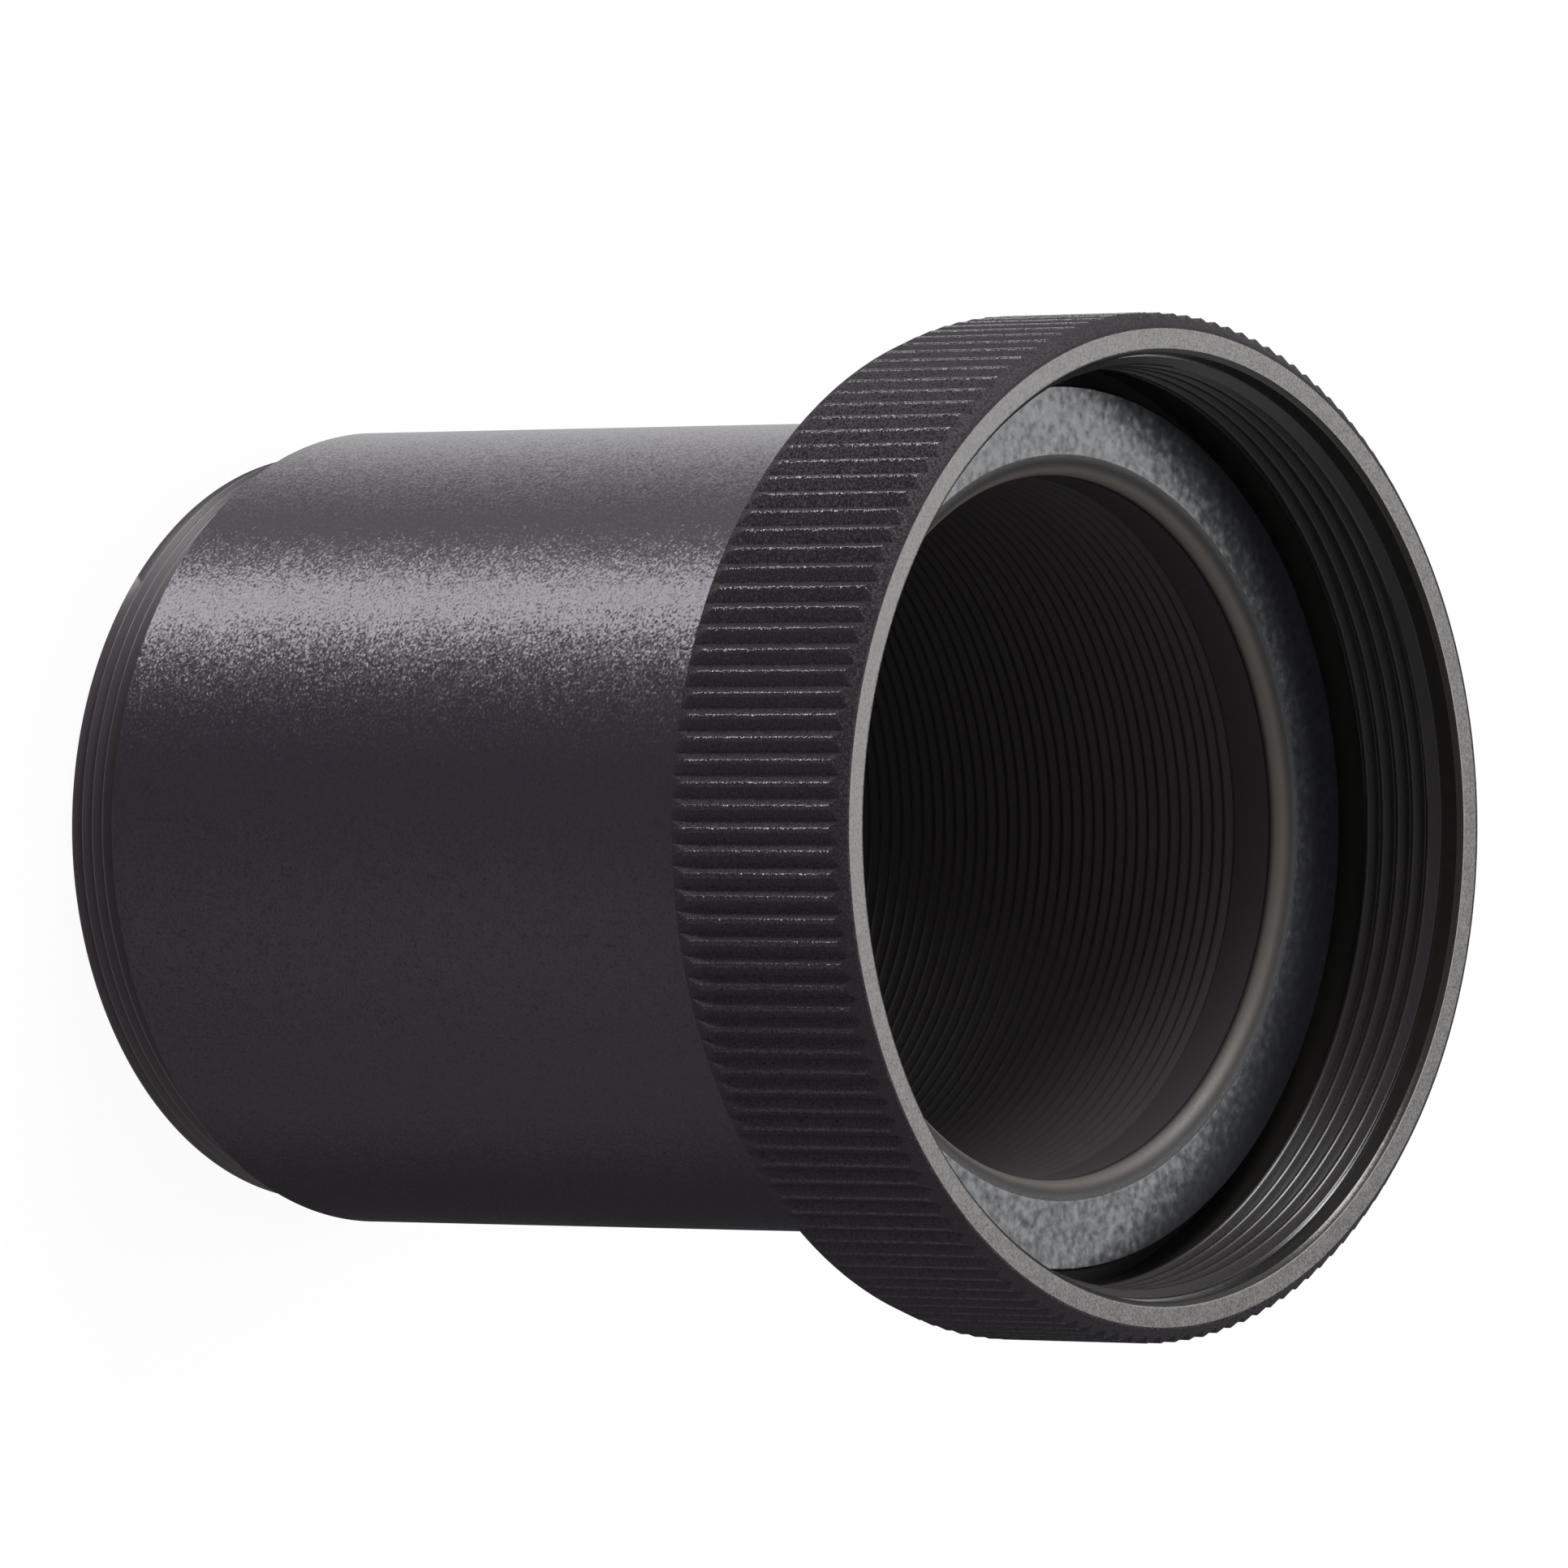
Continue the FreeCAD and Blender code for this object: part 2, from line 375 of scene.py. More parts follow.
@dataclass(frozen=True)
class TurnedAnodised:
    """Aluminium 6061, turned on a lathe and then black anodised.

    The tool leaves fine rings about the axis, and the film over them is a semi-matt
    black with a thin grain, whose tone goes at random between two film colours. A band
    round one height can instead be painted in the second colour, as a painted reflection.
    The grain is drawn coarser than the real one, which no picture this size can show.
    """

    name: str = "aluminium_turned_black_anodised"
    film: str = "#1d1b1c"
    # The second film colour: a lighter random grain tone, and also the colour of a painted
    # reflection band where one is set
    grain_and_painted_band_film: str = "#2b2928"
    roughness: float = 0.38
    roughness_spread: float = 0.08
    grain_mm: float = 0.12
    grain_low: float = 0.3
    grain_high: float = 0.7
    grain_depth_mm: float = 0.010
    feed_mm: float = 0.09
    feed_depth_mm: float = 0.0015
    # A band this far each way of this height is painted in the second colour as a painted
    # reflection; a reach of 0 paints none
    painted_band_height_mm: float = 0.0
    painted_band_reach_mm: float = 0.0
    film_index: float = 1.6

    def grain_and_painted_band(
        self,
        tree: bpy.types.NodeTree,
        place: bpy.types.NodeSocket,
        grain: bpy.types.NodeSocket,
    ) -> bpy.types.NodeSocket:
        """How far towards the second film colour: by the grain alone, or in a painted reflection
        band round a height.

        Args:
            tree: The node tree.
            place: Where on the object it is, in millimetres.
            grain: The film's grain.

        Returns:
            A share from 0 to 1.
        """
        if not self.painted_band_reach_mm:
            return grain
        # Painted reflection: a lighter band by height stands in for the light that the mouth's
        # rounding mirrors
        height = add(tree, "ShaderNodeSeparateXYZ", {0: place}).outputs["Z"]
        away = sum_of(tree, "SUBTRACT", height, self.painted_band_height_mm)
        distance = sum_of(tree, "ABSOLUTE", away)
        reach = self.painted_band_reach_mm
        return ranged(tree, distance, reach / 4, reach, 1.0, 0.0, kind="SMOOTHSTEP")

    def shader(self, tree: bpy.types.NodeTree) -> dict[str, object]:
        """The shader's values and links.

        Args:
            tree: The node tree.

        Returns:
            Each by its socket.
        """
        place = millimetres(tree)
        grain = noise(tree, place, self.grain_mm, 3.0)
        turns = sum_of(tree, "MULTIPLY", radius_of(tree, place), FULL_TURN / self.feed_mm)
        rings = sum_of(tree, "SINE", turns)
        tool_marks = dented(tree, rings, self.feed_depth_mm)
        return {
            "Base Color": recoloured(
                tree, self.grain_and_painted_band(tree, place, grain), self.film, self.grain_and_painted_band_film
            ),
            "Roughness": ranged(
                tree,
                grain,
                self.grain_low,
                self.grain_high,
                self.roughness - self.roughness_spread,
                self.roughness + self.roughness_spread,
            ),
            "IOR": self.film_index,
            "Normal": dented(tree, grain, self.grain_depth_mm, {"Normal": tool_marks}),
        }


@dataclass(frozen=True)
class DrawnSpringSteel:
    """Spring steel wire, drawn through a die and lightly oiled.

    Drawing leaves faint marks on the wire, and the oil keeps it a bright grey. The marks
    are drawn coarser than the real ones, so that they show at all.
    """

    name: str = "spring_steel_drawn_oiled"
    steel: str = "#a9aaac"
    dark_steel: str = "#8b8c90"
    roughness: float = 0.28
    scratch_mm: float = 0.08
    scratch_depth_mm: float = 0.002
    scratch_strength: float = 0.3

    def shader(self, tree: bpy.types.NodeTree) -> dict[str, object]:
        """The shader's values and links.

        Args:
            tree: The node tree.

        Returns:
            Each by its socket.
        """
        scratches = noise(tree, millimetres(tree), self.scratch_mm)
        strength = {"Strength": self.scratch_strength}
        return {
            "Base Color": recoloured(tree, scratches, self.dark_steel, self.steel),
            "Metallic": 1.0,
            "Roughness": self.roughness,
            "Normal": dented(tree, scratches, self.scratch_depth_mm, strength),
        }


class Finish(Enum):
    """The finishes that the adapter's surfaces have."""

    # A sparkling band where the side lamp is mirrored, and a purplish black elsewhere
    TUBE = BlastedAnodised()

    # Even, cool grey with soft clouds, because the whole face mirrors one softbox
    FLANGE_FACE = BlastedAnodised(
        name="aluminium_coarse_blasted_black_anodised",
        film="#15151a",
        lit_film="#25262b",
        gleam="#f8fcff",
        roughness=0.30,
        dent_mm=0.20,
        dent_tilt=0.05,
        patch_mm=0.5,
        patch_tilt=0.19,
    )

    # A light brownish band painted round the mouth's rounding, a painted reflection of the light
    # that it mirrors
    MOUTH = TurnedAnodised(
        name="aluminium_round_black_anodised_painted_band",
        film="#141112",
        grain_and_painted_band_film="#544e4a",
        roughness=0.55,
        grain_depth_mm=0.001,
        feed_depth_mm=0.0003,
        painted_band_height_mm=53.6,
        painted_band_reach_mm=0.55,
    )

    # Deep matt black in which the ribs hardly show, as a light trap should be
    BORE = TurnedAnodised(
        name="aluminium_ribbed_matt_black_anodised",
        film="#2a2527",
        grain_and_painted_band_film="#332d2f",
        roughness=0.82,
    )

    # A little lighter and browner than the tube, so that the thread stands off from it
    T_THREAD = TurnedAnodised(
        name="aluminium_fine_thread_cut_black_anodised",
        film="#352e33",
        grain_and_painted_band_film="#3d353b",
        roughness=0.36,
        roughness_spread=0.04,
        grain_depth_mm=0.002,
        feed_depth_mm=0.0003,
    )

    # Dark flanks with a thin bright line on each crest
    THREAD = TurnedAnodised(
        name="aluminium_thread_cut_black_anodised",
        film="#201c1f",
        grain_and_painted_band_film="#221e21",
        roughness=0.30,
        roughness_spread=0.04,
        grain_depth_mm=0.002,
        feed_depth_mm=0.0003,
    )

    # A plain light grey front face, with a grain so fine that it looks like satin
    RING = BlastedAnodised(
        name="aluminium_fine_blasted_black_anodised",
        film="#1b1a19",
        lit_film="#242321",
        gleam="#fffdfb",
        roughness=0.28,
        dent_tilt=0.12,
        patch_tilt=0.03,
    )

    # Crests that handling has burnished, so they glint in dots between matt black walls
    KNURL = BlastedAnodised(
        name="aluminium_knurled_black_anodised",
        film="#1e191e",
        lit_film="#231e23",
        roughness=0.16,
        dent_mm=0.13,
        dent_tilt=1.6,
        dull_below_mm=27.71,
    )

    # The one bare metal, a bright grey that shows only in the gap behind the flange
    WIRE = DrawnSpringSteel()

    def material(self) -> bpy.types.Material:
        """The finish's material, built the first time that it is asked for."""
        name = self.value.name
        return bpy.data.materials.get(name) or dressed(name, self.value.shader)


class Lathe:
    """Draws outlines and turns them about the optical axis."""

    @staticmethod
    def outline(name: str, points: Sequence[Point], finish: Finish) -> bpy.types.Object:
        """Draws an open outline by extruding one vertex from point to point.

        Args:
            name: The new object's name.
            points: Radius and height of each point, in millimetres.
            finish: What the surface that it sweeps is finished with.

        Returns:
            The outline, in the plane of +X and +Z.
        """
        places = [Vector((radius, 0, height)) * MM for radius, height in points]
        bpy.ops.object.select_all(action="DESELECT")
        bpy.ops.mesh.primitive_plane_add(size=MM, location=(0, 0, 0))
        skin = bpy.context.object
        skin.name = name
        skin.data.materials.append(finish.material())
        bpy.ops.object.mode_set(mode="EDIT")
        bpy.ops.mesh.select_mode(type="VERT")
        bpy.ops.mesh.merge(type="CENTER")
        bpy.ops.transform.translate(value=places[0])
        for start, end in zip(places, places[1:]):
            bpy.ops.mesh.extrude_vertices_move(TRANSFORM_OT_translate={"value": end - start})
        bpy.ops.object.mode_set(mode="OBJECT")
        return skin

    @classmethod
    def turned(cls, name: str, points: Sequence[Point], finish: Finish) -> bpy.types.Object:
        """The surface that an outline sweeps in a full turn about the axis.

        Args:
            name: The new object's name.
            points: Radius and height of each point, in millimetres.
            finish: What the surface is finished with.

        Returns:
            The surface, open where the outline starts and ends.
        """
        skin = cls.outline(name, points, finish)
        bpy.ops.object.mode_set(mode="EDIT")
        bpy.ops.mesh.select_all(action="SELECT")
        bpy.ops.mesh.spin(steps=SIDES, angle=FULL_TURN, center=(0, 0, 0), axis=(0, 0, 1))
        bpy.ops.mesh.select_all(action="SELECT")
        bpy.ops.mesh.remove_doubles(threshold=MERGE)
        bpy.ops.object.mode_set(mode="OBJECT")
        return skin

    @classmethod
    def threaded(
        cls, name: str, thread: "Thread", low: float, high: float, finish: Finish
    ) -> bpy.types.Object:
        """The helical surface that a thread's outline sweeps, cut level at both ends.

        Args:
            name: The new object's name.
            thread: The thread's form.
            low: Height of the lower cut, in millimetres.
            high: Height of the upper cut, in millimetres.
            finish: What the thread is finished with.

        Returns:
            The surface, open at both cuts.
        """
        skin = cls.outline(name, thread.outline(low, high), finish)
        bpy.ops.object.modifier_add(type="SCREW")
        screw = skin.modifiers[-1]
        screw.steps = screw.render_steps = SIDES
        screw.screw_offset = thread.pitch * MM
        bpy.ops.object.modifier_apply(modifier=screw.name)
        bpy.ops.object.mode_set(mode="EDIT")
        bpy.ops.mesh.select_all(action="SELECT")
        bpy.ops.mesh.remove_doubles(threshold=MERGE)
        for height, above in ((low, False), (high, True)):
            bpy.ops.mesh.select_all(action="SELECT")
            bpy.ops.mesh.bisect(
                plane_co=(0, 0, height * MM),
                plane_no=(0, 0, 1),
                clear_inner=not above,
                clear_outer=above,
                threshold=MERGE / 10,
            )
        bpy.ops.object.mode_set(mode="OBJECT")
        return skin

    @staticmethod
    def chamfered(skin: bpy.types.Object, radius: float, inside: bool) -> None:
        """Moves what lies past a 45 degree cone onto it, as a chamfer on a thread does.

        Args:
            skin: The thread's surface.
            radius: The cone's radius at height 0, in millimetres, which grows upwards.
            inside: Whether the thread is in a hole, where vertices move outwards.
        """
        for vertex in skin.data.vertices:
            allowed = radius * MM + vertex.co.z
            found = vertex.co.xy.length
            if (found < allowed) if inside else (found > allowed):
                vertex.co.xy *= allowed / found

    @staticmethod
    def closed(
        name: str, skins: Sequence[bpy.types.Object], faces: dict[float, Finish]
    ) -> bpy.types.Object:
        """Joins a part's surfaces into one closed mesh with smooth turned sides.

        Args:
            name: The part's name.
            skins: Its surfaces, which meet at their edges or at a flat face.
            faces: The finish of each flat face to fill in, by its height in millimetres.

        Returns:
            The closed part.
        """
        bpy.ops.object.select_all(action="DESELECT")
        for skin in skins:
            skin.select_set(True)
        part = skins[0]
        bpy.context.view_layer.objects.active = part
        bpy.ops.object.join()
        part.name = name
        part.data.name = name
        for finish in faces.values():
            if finish.material().name not in part.data.materials:
                part.data.materials.append(finish.material())
        bpy.ops.object.mode_set(mode="EDIT")
        bpy.ops.mesh.select_all(action="SELECT")
        bpy.ops.mesh.remove_doubles(threshold=MERGE)
        for height, finish in faces.items():
            Lathe._fill(part, height, part.data.materials.find(finish.material().name))
        bpy.ops.mesh.select_all(action="SELECT")
        bpy.ops.mesh.normals_make_consistent(inside=False)
        bpy.ops.object.mode_set(mode="OBJECT")
        bpy.ops.object.shade_smooth_by_angle(angle=SMOOTH_BELOW)
        bpy.ops.object.modifier_add(type="WEIGHTED_NORMAL")
        part.modifiers[-1].keep_sharp = True
        bpy.ops.object.modifier_apply(modifier=part.modifiers[-1].name)
        return part

    @staticmethod
    def _fill(part: bpy.types.Object, height: float, slot: int) -> None:
        """Fills the flat ring between the two open edges at a height.

        Args:
            part: The part, in edit mode.
            height: The flat face's height in millimetres.
            slot: The material slot that the new faces take.
        """
        bpy.ops.mesh.select_all(action="DESELECT")
        bpy.ops.mesh.select_mode(type="EDGE")
        mesh = bmesh.from_edit_mesh(part.data)
        for edge in mesh.edges:
            level = all(abs(v.co.z - height * MM) < ON_PLANE for v in edge.verts)
            edge.select_set(edge.is_boundary and level)
        bmesh.update_edit_mesh(part.data)
        bpy.ops.mesh.fill(use_beauty=True)
        mesh = bmesh.from_edit_mesh(part.data)
        for face in mesh.faces:
            if face.select:
                face.material_index = slot
        bmesh.update_edit_mesh(part.data)


def eased(
    points: Sequence[Point], size: float | Sequence[float], longest_share: float = 0.4
) -> list[Point]:
    """An outline with a short curve at each of its corners.

    Args:
        points: Radius and height of each point, in millimetres.
        size: How far from its corner each curve starts, at most, or that by corner.
        longest_share: The most of a straight stretch that one curve may take.

    Returns:
        The outline with three points in place of each inner one.
    """
    smooth = [points[0]]
    sizes = [size] * (len(points) - 2) if isinstance(size, float) else size
    for before, corner, after, reach in zip(points, points[1:], points[2:], sizes):
        ends = []
        for other in (before, after):
            run = math.dist(corner, other)
            share = min(reach, longest_share * run) / run
            ends.append([c + (o - c) * share for c, o in zip(corner, other)])
        middle = [(a + 2 * c + b) / 4 for a, c, b in zip(ends[0], corner, ends[1])]
        smooth += [tuple(ends[0]), tuple(middle), tuple(ends[1])]
    return smooth + [points[-1]]


@dataclass(frozen=True)
class Thread:
    """The form of a 60 degree thread, in millimetres.

    The crests' middles are a pitch apart, and one lies at crest_height at +X. The crests'
    edges are eased by a share of their flat.
    """

    crest: float
    root: float
    crest_flat: float
    pitch: float
    crest_height: float
    eased_share: float = 0.4

    def outline(self, low: float, high: float) -> list[Point]:
        """The thread's outline, going up and reaching past two heights.

        Args:
            low: The lower height, in millimetres.
            high: The upper height, in millimetres.

        Returns:
            Radius and height of each point.
        """
        half = self.crest_flat / 2
        foot = half + abs(self.crest - self.root) * math.tan(math.radians(30))
        first = math.floor((low - self.crest_height) / self.pitch) - 2
        count = math.ceil((high - low) / self.pitch) + 4
        corners = []
        for turn in range(first, first + count):
            middle = self.crest_height + turn * self.pitch
            corners += [
                (self.root, middle - foot),
                (self.crest, middle - half),
                (self.crest, middle + half),
                (self.root, middle + foot),
            ]
        return eased(corners, self.eased_share * self.crest_flat)


@dataclass
class Mounts:
    """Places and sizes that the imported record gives, in millimetres."""

    seat: float
    shoulder: float
    t_crest: float
    telescope_crest: float
    wire_height: float

    @classmethod
    def read(cls) -> "Mounts":
        """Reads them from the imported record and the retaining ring's box.

        Returns:
            The places and sizes.
        """
        stated = {m["name"]: m for m in frame["record"]["mounts"]}
        low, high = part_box("retaining_ring")
        return cls(
            seat=stated["flange_seat"]["pos_m"][2] / MM,
            shoulder=stated["t_thread_shoulder"]["pos_m"][2] / MM,
            t_crest=stated["t_thread"]["dims"]["r_mm"],
            telescope_crest=stated["telescope_thread"]["dims"]["r_mm"],
            wire_height=(low.z + high.z) / 2 / MM,
        )


@dataclass
class Barrel:
    """The tube with its flange, T-thread, rounded mouth and ribbed bore."""

    mounts: Mounts
    flange_radius: float
    tube_radius: float = 22.15
    bore_radius: float = 19.05
    flange_thickness: float = 1.8
    flange_chamfer: float = 0.15
    shoulder_chamfer: float = 0.3
    mouth_round: float = 1.15
    mouth_steps: int = 12
    bore_end_chamfer: float = 0.4
    t_pitch: float = 0.75
    t_root: float = 20.54
    t_crest_flat: float = 0.094
    t_crest_height: float = 1.3075
    t_end_chamfer: float = 0.35
    relief_width: float = 0.9
    relief_radius: float = 20.48
    seat_radius: float = 21.03
    wire_groove_radius: float = 21.7
    wire_groove_below: float = 0.52
    wire_groove_above: float = 1.05
    rib_pitch: float = 0.77
    rib_depth: float = 0.22
    rib_land: float = 0.10
    rib_margin: float = 2.2
    edge_break: float = 0.04
    flat_rim: float = 0.12

    def __post_init__(self) -> None:
        """Works out the heights that several surfaces share."""
        self.front = self.mounts.seat
        self.back = self.front - self.flange_thickness
        self.relief_low = self.mounts.shoulder - self.relief_width

    def relief_and_shoulder(self) -> list[Point]:
        """From the end of the T-thread, round the relief and the shoulder, to the tube.

        Returns:
            The outline's points.
        """
        rise = self.seat_radius - self.relief_radius
        shoulder = self.mounts.shoulder
        return eased(
            [
                (self.relief_radius, self.relief_low),
                (self.relief_radius, shoulder - rise),
                (self.seat_radius, shoulder),
                (self.tube_radius - self.shoulder_chamfer, shoulder),
                (self.tube_radius, shoulder + self.shoulder_chamfer),
            ],
            self.edge_break,
        )

    def tube_and_flange(self) -> list[Point]:
        """Up the tube, over the retaining ring's groove and round the flange's edge.

        Returns:
            The outline's points.
        """
        wire = self.mounts.wire_height
        return eased(
            [
                (self.tube_radius, self.mounts.shoulder + self.shoulder_chamfer),
                (self.tube_radius, wire - self.wire_groove_below),
                (self.wire_groove_radius, wire - self.wire_groove_below),
                (self.wire_groove_radius, wire + self.wire_groove_above),
                (self.tube_radius, wire + self.wire_groove_above),
                (self.tube_radius, self.back),
                (self.flange_radius - self.flange_chamfer, self.back),
                (self.flange_radius, self.back + self.flange_chamfer),
                (self.flange_radius, self.front - self.flange_chamfer),
                (self.flange_radius - self.flange_chamfer, self.front),
            ],
            self.edge_break,
        )

    def flange_face(self) -> list[Point]:
        """Across the flange's front face, towards the mouth.

        Returns:
            The outline's points.
        """
        return [
            (self.flange_radius - self.flange_chamfer, self.front),
            (self.flange_radius - self.flange_chamfer - self.flat_rim, self.front),
            (self.bore_radius + self.mouth_round + self.flat_rim, self.front),
            (self.bore_radius + self.mouth_round, self.front),
        ]

    def mouth(self) -> list[Point]:
        """The quarter round that leads from the flange's face into the bore.

        Returns:
            The outline's points.
        """
        radius = self.bore_radius + self.mouth_round
        height = self.front - self.mouth_round
        angles = [math.pi / 2 * step / self.mouth_steps for step in range(self.mouth_steps + 1)]
        return [
            (
                radius - self.mouth_round * math.sin(angle),
                height + self.mouth_round * math.cos(angle),
            )
            for angle in angles
        ]

    def bore(self) -> list[Point]:
        """Down the bore's ribs to the chamfer at the T-thread's end.

        Returns:
            The outline's points.
        """
        high = self.front - self.mouth_round - self.rib_margin
        low = self.rib_margin
        count = int((high - low) / self.rib_pitch)
        top = (high + low) / 2 + count * self.rib_pitch / 2
        points = [(self.bore_radius, self.front - self.mouth_round)]
        for rib in range(count):
            height = top - rib * self.rib_pitch
            points += [
                (self.bore_radius, height - self.rib_land / 2),
                (self.bore_radius + self.rib_depth, height - self.rib_pitch / 2),
                (self.bore_radius, height - self.rib_pitch + self.rib_land / 2),
            ]
        return points + [
            (self.bore_radius, self.bore_end_chamfer),
            (self.bore_radius + self.bore_end_chamfer, 0),
        ]

    def t_thread(self) -> bpy.types.Object:
        """The male thread, with its first crest chamfered at the end.

        Returns:
            The thread's surface, open at both ends.
        """
        crest = self.mounts.t_crest
        form = Thread(crest, self.t_root, self.t_crest_flat, self.t_pitch, self.t_crest_height)
        skin = Lathe.threaded("t_thread", form, 0, self.relief_low, Finish.T_THREAD)
        Lathe.chamfered(skin, crest - self.t_end_chamfer, inside=False)
        return skin

    def build(self) -> bpy.types.Object:
        """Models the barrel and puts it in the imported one's place.

        Returns:
            The finished piece.
        """
        skins = [
            Lathe.turned("tube", self.tube_and_flange(), Finish.TUBE),
            Lathe.turned("relief", self.relief_and_shoulder(), Finish.T_THREAD),
            Lathe.turned("flange_face", self.flange_face(), Finish.FLANGE_FACE),
            Lathe.turned("mouth", self.mouth(), Finish.MOUTH),
            Lathe.turned("bore", self.bore(), Finish.BORE),
            self.t_thread(),
        ]
        faces = {0.0: Finish.T_THREAD, self.relief_low: Finish.T_THREAD}
        piece = Lathe.closed("barrel_turned", skins, faces)
        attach(piece, "adapter_tube")
        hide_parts("barrel")
        return piece


@dataclass
class CouplingRing:
    """The knurled ring with its telescope thread, lead-in and inner lip."""

    mounts: Mounts
    outer_radius: float
    rear: float
    front: float
    teeth: int = 144
    tooth_depth: float = 0.40
    tooth_land: float = 0.12
    bottom_share: float = 0.62
    crest_ease: float = 0.125
    bottom_ease: float = 0.02
    rear_taper: float = 1.2
    front_chamfer: float = 0.73
    edge_break: float = 0.03
    lead_in_radius: float = 25.5
    lead_in_edge: float = 0.25
    lead_in_depth: float = 1.2
    thread_length: float = 5.4
    pitch: float = 25.4 / 24
    thread_root: float = 25.4
    thread_start_rim: float = 0.02
    crest_flat: float = 0.2646
    crest_height: float = 57.2354
    lip_radius: float = 22.45
    lip_chamfer: float = 0.2
    lip_thickness: float = 2.33
    wire_groove_radius: float = 22.9
    wire_groove_half: float = 0.55
    flat_rim: float = 0.12

    def __post_init__(self) -> None:
        """Works out the heights that several surfaces share."""
        self.thread_high = self.front - self.lead_in_depth
        self.thread_low = self.thread_high - self.thread_length
        self.lip_front = self.rear + self.lip_thickness
        self.root = self.outer_radius - self.tooth_depth
        self.face_radius = self.outer_radius - self.front_chamfer

    def tooth_section(self) -> list[tuple[float, float]]:
        """The knurl's outline from one crest to the next one.

        From a crest the outline goes down a gentle wall and comes back up a steeper one.
        The walls would meet a little above the crest, and the crest is rounded down from
        there to the ring's outer radius.

        Returns:
            Radius and angle about the axis of each point.
        """
        width = self.outer_radius * FULL_TURN / self.teeth
        gentle_run = width * self.bottom_share - self.tooth_land / 2
        steep_run = width - self.tooth_land - gentle_run
        rise = self.tooth_land * self.tooth_depth / (gentle_run + steep_run)
        ahead = self.tooth_land / 2 - rise * gentle_run / self.tooth_depth
        peak = self.outer_radius + rise
        bottom = width * self.bottom_share
        corners = [
            (bottom - width, self.root),
            (ahead, peak),
            (bottom, self.root),
            (ahead + width, peak),
            (bottom + width, self.root),
        ]
        smooth = eased(corners, (self.crest_ease, self.bottom_ease, self.crest_ease))
        smooth = eased(smooth, self.crest_ease / 4)
        section = [point for point in smooth if ahead <= point[0] < ahead + width]
        section.append((section[0][0] + width, section[0][1]))
        return [(radius, across / self.outer_radius) for across, radius in section]

    def stations(self) -> list[Callable[[float], Point]]:
        """The tooth's path from the rear face, along its length, to the front face.

        Returns:
            For each station, what gives the radius and height there of a point that has
            a radius in the tooth's section.
        """
        small = self.edge_break
        taper = (self.rear_taper - small) / self.tooth_depth
        return [
            lambda radius: (self.root - small - self.flat_rim, self.rear),
            lambda radius: (self.root - small, self.rear),
            lambda radius: (self.root, self.rear + small),
            lambda radius: (radius, self.rear + small + (radius - self.root) * taper),
            lambda radius: (radius, self.front - (radius - self.face_radius)),
            lambda radius: (self.face_radius + small, self.front - small),
            lambda radius: (self.face_radius - small, self.front),
            lambda radius: (self.face_radius - small - self.flat_rim, self.front),
        ]

    @staticmethod
    def row(
        name: str, section: Sequence[tuple[float, float]], station: Callable[[float], Point]
    ) -> bpy.types.Object:
        """The tooth's section drawn at one station.

        Args:
            name: The new object's name.
            section: Radius and angle of each of the section's points.
            station: What gives a point's radius and height there.

        Returns:
            A row of vertices joined by edges.
        """
        row = Lathe.outline(name, [station(section[0][0])], Finish.KNURL)
        places = []
        for radius, angle in section:
            at, height = station(radius)
            places.append(Vector((at * math.cos(angle), at * math.sin(angle), height)) * MM)
        bpy.ops.object.mode_set(mode="EDIT")
        bpy.ops.mesh.select_all(action="SELECT")
        for start, end in zip(places, places[1:]):
            bpy.ops.mesh.extrude_vertices_move(TRANSFORM_OT_translate={"value": end - start})
        bpy.ops.object.mode_set(mode="OBJECT")
        return row

    def knurl(self) -> bpy.types.Object:
        """One tooth from the rear face to the front one, copied round the ring.

        Returns:
            The ring's outer surface, open at both faces.
        """
        section = self.tooth_section()
        rows = [
            self.row(f"station_{number}", section, station)
            for number, station in enumerate(self.stations())
        ]
        bpy.ops.object.select_all(action="DESELECT")
        for row in rows:
            row.select_set(True)
        skin = rows[0]
        bpy.context.view_layer.objects.active = skin
        bpy.ops.object.join()
        bpy.ops.object.mode_set(mode="EDIT")
        for number in range(len(rows) - 1):
            bpy.ops.mesh.select_all(action="DESELECT")
            mesh = bmesh.from_edit_mesh(skin.data)
            for edge in mesh.edges:
                ends = {vertex.index // len(section) for vertex in edge.verts}
                edge.select_set(ends == {number} or ends == {number + 1})
            bmesh.update_edit_mesh(skin.data)
            bpy.ops.mesh.bridge_edge_loops()
        bpy.ops.mesh.select_all(action="SELECT")
        bpy.ops.mesh.spin(
            steps=self.teeth - 1,
            dupli=True,
            angle=FULL_TURN * (self.teeth - 1) / self.teeth,
            center=(0, 0, 0),
            axis=(0, 0, 1),
        )
        bpy.ops.mesh.select_all(action="SELECT")
        bpy.ops.mesh.remove_doubles(threshold=MERGE)
        bpy.ops.object.mode_set(mode="OBJECT")
        return skin

    def lead_in(self) -> list[Point]:
        """From the front face, over the mouth's edge, down to the thread.

        Returns:
            The outline's points.
        """
        return eased(
            [
                (self.lead_in_radius + self.lead_in_edge + self.flat_rim, self.front),
                (self.lead_in_radius + self.lead_in_edge, self.front),
                (self.lead_in_radius, self.front - self.lead_in_edge),
                (self.lead_in_radius, self.thread_high),
            ],
            self.edge_break,
        )

